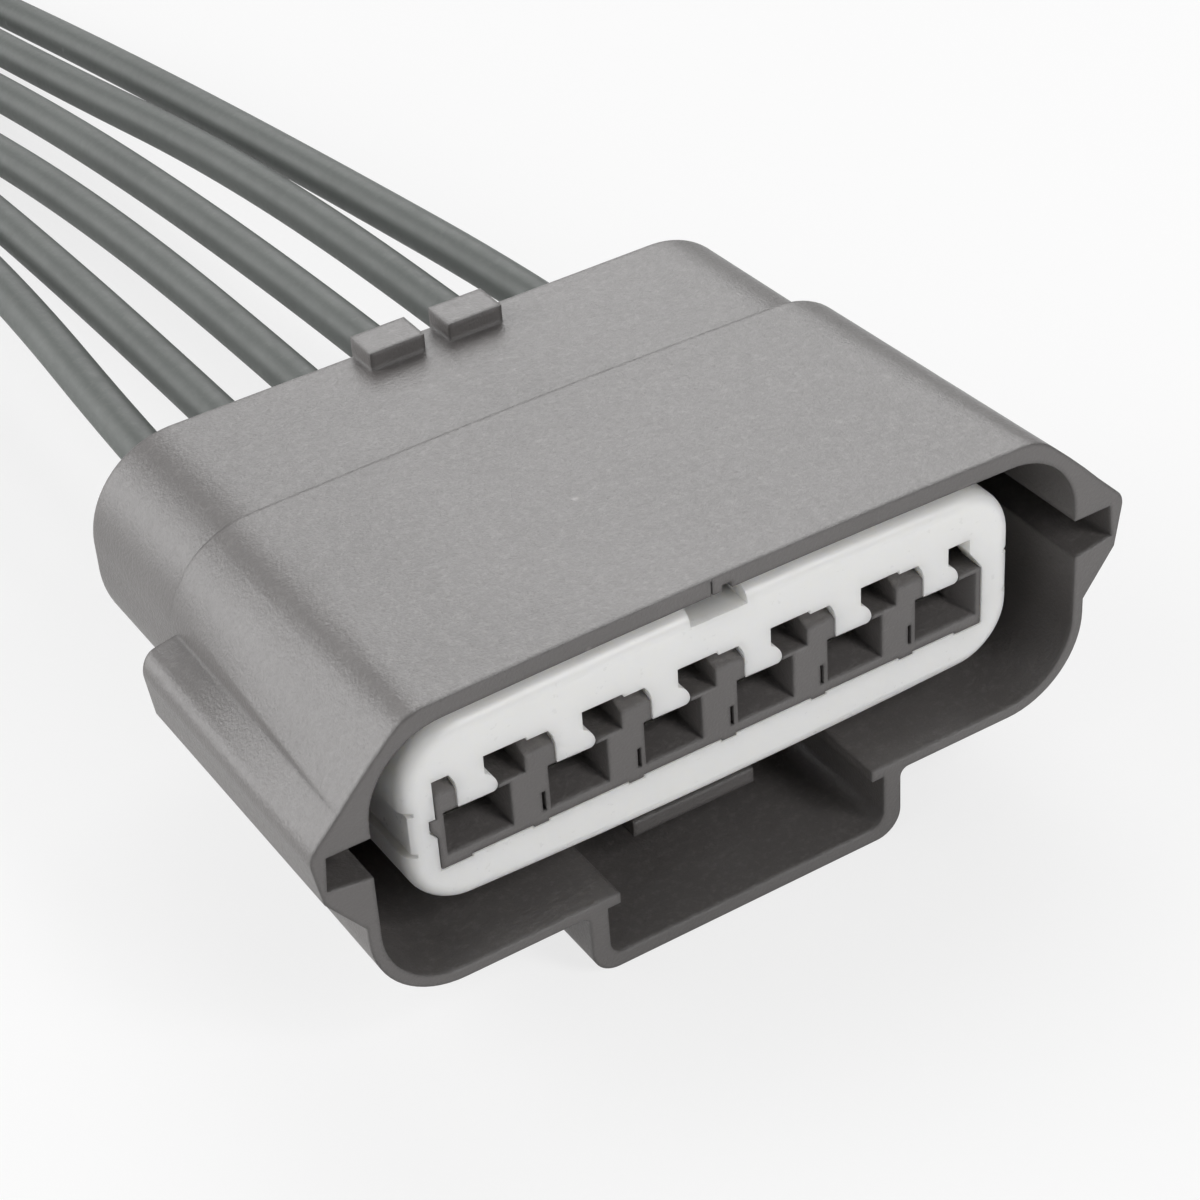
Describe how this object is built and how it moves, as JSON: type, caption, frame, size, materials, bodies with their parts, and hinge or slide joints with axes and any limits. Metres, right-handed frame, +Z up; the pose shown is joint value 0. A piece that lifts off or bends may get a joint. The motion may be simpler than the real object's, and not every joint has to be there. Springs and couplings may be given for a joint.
{
  "type": "sealed multi-way wire harness plug with leads",
  "caption": "Rectangular sealed harness plug: hooded housing with side guide grooves, slotted front retainer, latch guard below, and a row of sealed leads out of the back",
  "frame": {"origin": "middle of the plug's footprint without the leads, on the plane that the latch guard rests on", "axes": "X along the row of ways, Y from the mating face back to the leads, Z up from the guard to the roof"},
  "size_m": [0.0406, 0.1642, 0.0182],
  "materials": {
    "housing_plastic": "matte moulded grey, fine texture",
    "retainer_plastic": "smooth off-white moulding",
    "seal_rubber": "soft matte silicone rubber",
    "terminal_metal": "tin-plated strip",
    "lead_insulation": "satin extruded insulation"
  },
  "bodies": {
    "plug_body": {"connector_housing": "housing_plastic", "face_seal": "seal_rubber", "female_terminal_1": "terminal_metal", "female_terminal_2": "terminal_metal", "female_terminal_3": "terminal_metal", "female_terminal_4": "terminal_metal", "female_terminal_5": "terminal_metal", "female_terminal_6": "terminal_metal", "wire_seal_1": "seal_rubber", "wire_seal_2": "seal_rubber", "wire_seal_3": "seal_rubber", "wire_seal_4": "seal_rubber", "wire_seal_5": "seal_rubber", "wire_seal_6": "seal_rubber", "lead_1": "lead_insulation", "lead_2": "lead_insulation", "lead_3": "lead_insulation", "lead_4": "lead_insulation", "lead_5": "lead_insulation", "lead_6": "lead_insulation"},
    "lever_body": {"lock_lever": "housing_plastic"},
    "retainer_body": {"front_retainer": "retainer_plastic"}
  },
  "joints": [
    {"name": "lock_lever_tilt", "type": "hinge", "parent": "plug_body", "child": "lever_body", "pos_m": [0, -0.00025, 0.00277], "axis": [1, 0, 0], "range_deg": [0, 8], "stiffness_Nm_per_rad": 0.2},
    {"name": "front_retainer_slide", "type": "slide", "parent": "plug_body", "child": "retainer_body", "axis": [0, -1, 0], "range_m": [0, 0.0015]}
  ]
}
